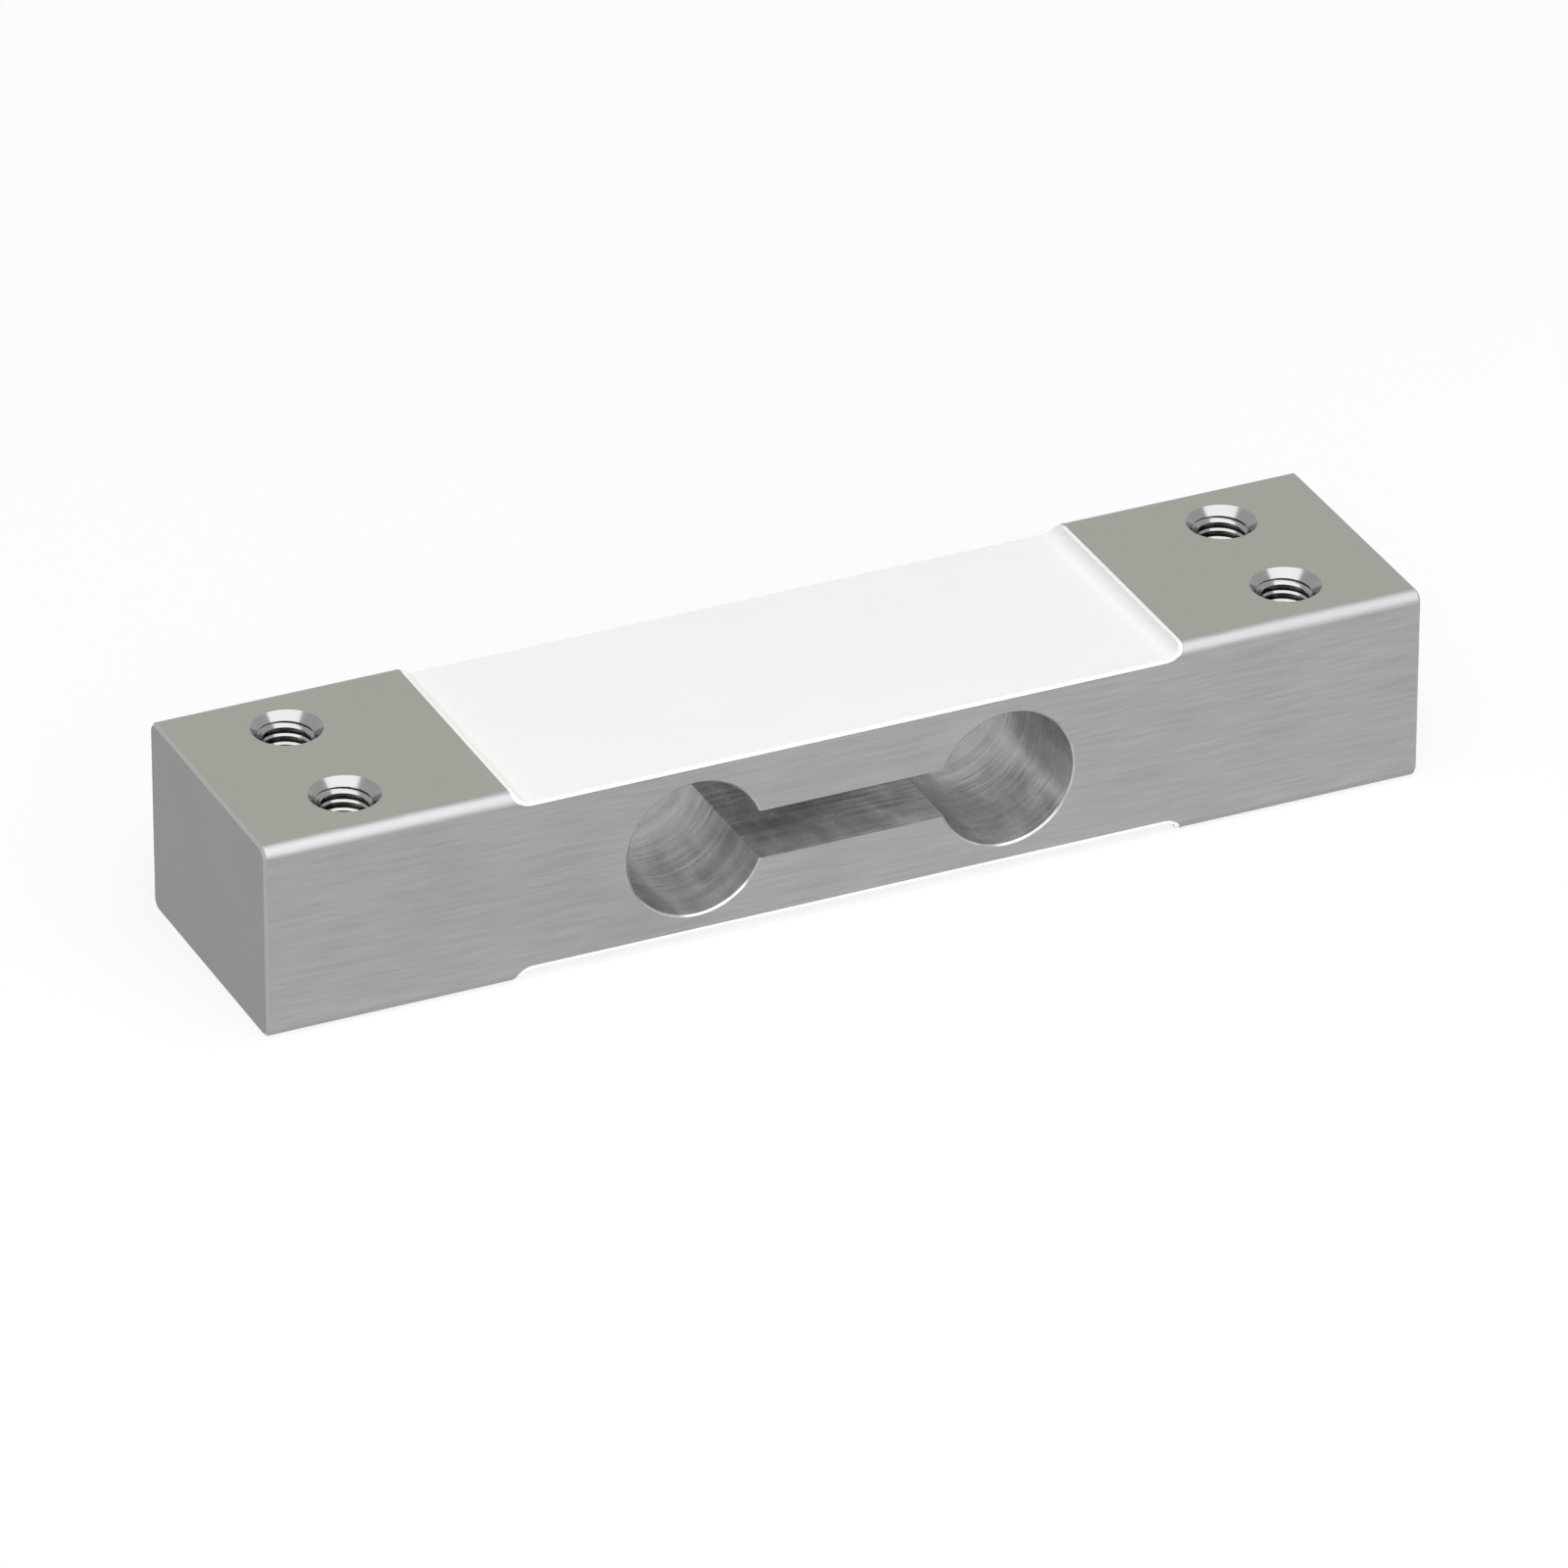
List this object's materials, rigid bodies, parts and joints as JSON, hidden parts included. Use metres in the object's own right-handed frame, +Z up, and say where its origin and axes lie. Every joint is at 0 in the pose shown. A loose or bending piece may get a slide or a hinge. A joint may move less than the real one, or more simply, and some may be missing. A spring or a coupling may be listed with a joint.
{
  "type": "single point load cell",
  "caption": "Single point load cell: a milled aluminium bending beam with a binocular flexure cut-out, tapped mounting pads and white covered strain gauge recesses.",
  "frame": {"origin": "on the bottom plane of the pads, under the middle of the beam", "axes": "+X along the beam towards the fixed end with the cable inlet, +Y across it, +Z up, against the load"},
  "size_m": [0.13, 0.03, 0.022],
  "materials": {
    "aluminium": "satin",
    "silicone": "satin",
    "white_film": "matte",
    "carrier_film": "satin",
    "board_laminate": "satin",
    "constantan_foil": "satin",
    "nickel_foil": "satin",
    "copper": "satin",
    "solder": "gloss"
  },
  "bodies": {
    "root": {"beam_body": "aluminium", "silicone_coat_top": "silicone", "silicone_coat_bottom": "silicone", "cover_film_top": "white_film", "cover_film_bottom": "white_film", "terminal_board_top": "board_laminate", "terminal_board_bottom": "board_laminate", "solder_pads_top": "copper", "solder_pads_bottom": "copper", "span_resistor_carrier_front": "carrier_film", "span_resistor_carrier_back": "carrier_film", "span_resistor_foil_front": "nickel_foil", "span_resistor_foil_back": "nickel_foil", "resistor_leads": "copper", "crossover_leads": "copper", "solder_joints_top": "solder", "solder_joints_bottom": "solder", "gauge_carrier_top_fixed_end": "carrier_film", "gauge_grid_top_fixed_end": "constantan_foil", "gauge_leads_top_fixed_end": "copper", "gauge_carrier_top_load_end": "carrier_film", "gauge_grid_top_load_end": "constantan_foil", "gauge_leads_top_load_end": "copper", "gauge_carrier_bottom_fixed_end": "carrier_film", "gauge_grid_bottom_fixed_end": "constantan_foil", "gauge_leads_bottom_fixed_end": "copper", "gauge_carrier_bottom_load_end": "carrier_film", "gauge_grid_bottom_load_end": "constantan_foil", "gauge_leads_bottom_load_end": "copper"}
  },
  "joints": []
}
